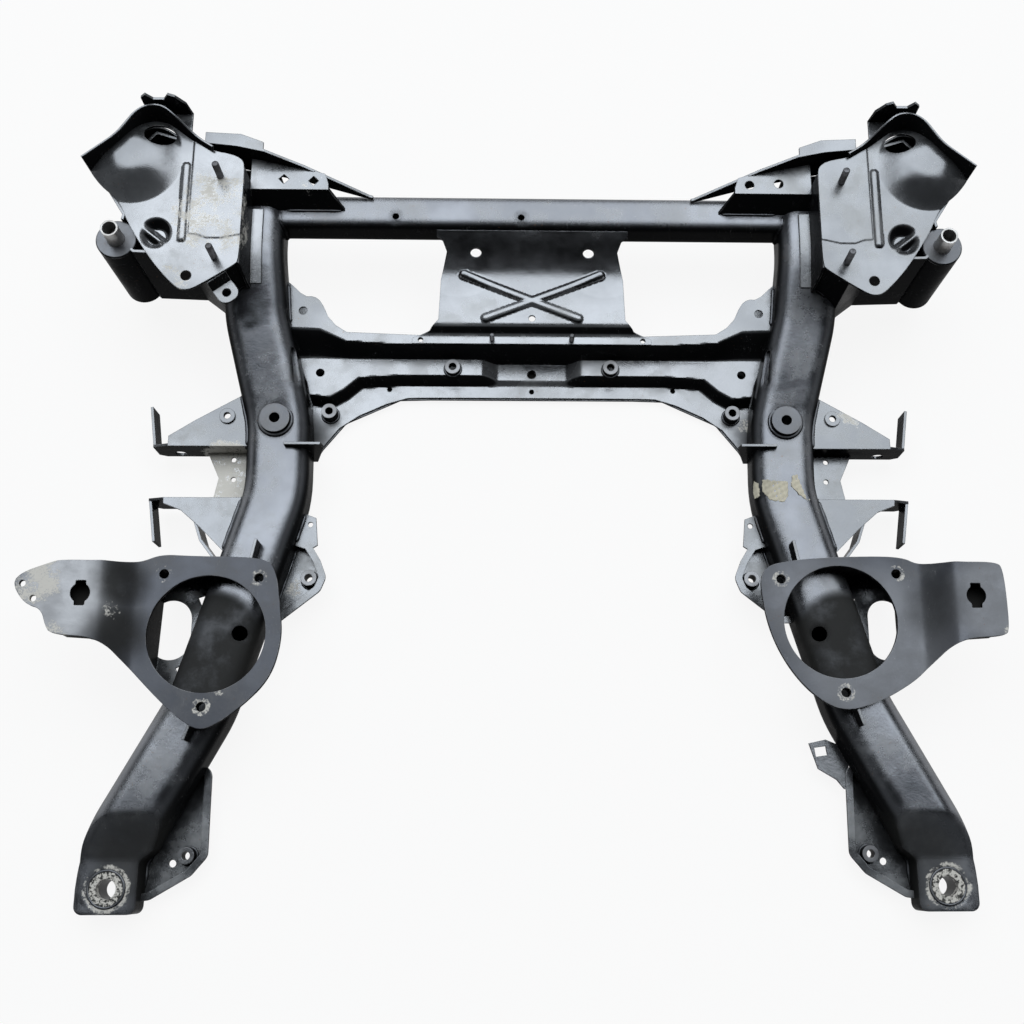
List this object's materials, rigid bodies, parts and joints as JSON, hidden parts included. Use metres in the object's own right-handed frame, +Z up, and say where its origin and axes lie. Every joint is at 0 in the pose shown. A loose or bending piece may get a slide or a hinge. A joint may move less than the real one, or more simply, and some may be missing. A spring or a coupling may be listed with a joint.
{
  "type": "suspension subframe",
  "caption": "Welded pressed-steel vehicle subframe: two curved side rails, a rear tube, a stepped crossmember, mount towers, round-hole mount plates and clevis brackets.",
  "frame": {"origin": "mouth of the centre hole in the crossmember floor, on the plane of symmetry of the rails", "axes": "+X to the right in the picture, +Y towards the rear cross tube and the towers, +Z up out of the visible side"},
  "size_m": [1.0544, 0.872, 0.2033],
  "materials": {
    "rail_coat": "semi-gloss black coating",
    "pressing_coat": "semi-gloss black coating",
    "plate_coat": "scuffed semi-gloss black coating",
    "boss_coat": "black coating, worn on the end faces",
    "nut_steel": "black coating over steel",
    "stud_steel": "zinc-plated thread",
    "sleeve_steel": "bare steel, lightly oxidised",
    "bush_rubber": "matte"
  },
  "bodies": {
    "root": {"crossmember_lower": "pressing_coat", "crossmember_upper": "pressing_coat", "flange_nuts": "nut_steel", "front_nuts": "nut_steel", "left_bush_rubber": "bush_rubber", "left_bush_sleeve": "sleeve_steel", "left_bush_tube": "boss_coat", "left_bush_washer": "boss_coat", "left_clevis_brace": "pressing_coat", "left_clevis_front": "pressing_coat", "left_clevis_rear": "pressing_coat", "left_clevis_web": "pressing_coat", "left_crossmember_lip": "pressing_coat", "left_front_bracket": "pressing_coat", "left_gusset": "pressing_coat", "left_gusset_flange": "pressing_coat", "left_mount_plate": "plate_coat", "left_plate_gussets": "pressing_coat", "left_plate_support": "pressing_coat", "left_pocket_bracket": "pressing_coat", "left_rail": "rail_coat", "left_rail_boss": "boss_coat", "left_rail_end_sleeve": "sleeve_steel", "left_tower_body": "pressing_coat", "left_tower_horns": "pressing_coat", "left_tower_shell": "pressing_coat", "left_tower_tab": "pressing_coat", "mount_nuts": "nut_steel", "panel_studs": "stud_steel", "plateau_nuts": "nut_steel", "pocket_nuts": "nut_steel", "rear_cross_tube": "rail_coat", "ribbed_panel": "pressing_coat", "right_bush_rubber": "bush_rubber", "right_bush_sleeve": "sleeve_steel", "right_bush_tube": "boss_coat", "right_bush_washer": "boss_coat", "right_clevis_brace": "pressing_coat", "right_clevis_front": "pressing_coat", "right_clevis_rear": "pressing_coat", "right_clevis_web": "pressing_coat", "right_crossmember_lip": "pressing_coat", "right_front_bracket": "pressing_coat", "right_front_tab": "pressing_coat", "right_gusset": "pressing_coat", "right_gusset_flange": "pressing_coat", "right_mount_plate": "plate_coat", "right_plate_gussets": "pressing_coat", "right_plate_support": "pressing_coat", "right_pocket_bracket": "pressing_coat", "right_rail": "rail_coat", "right_rail_boss": "boss_coat", "right_rail_end_sleeve": "sleeve_steel", "right_tower_body": "pressing_coat", "right_tower_horns": "pressing_coat", "right_tower_shell": "pressing_coat", "tower_studs": "stud_steel"}
  },
  "joints": []
}
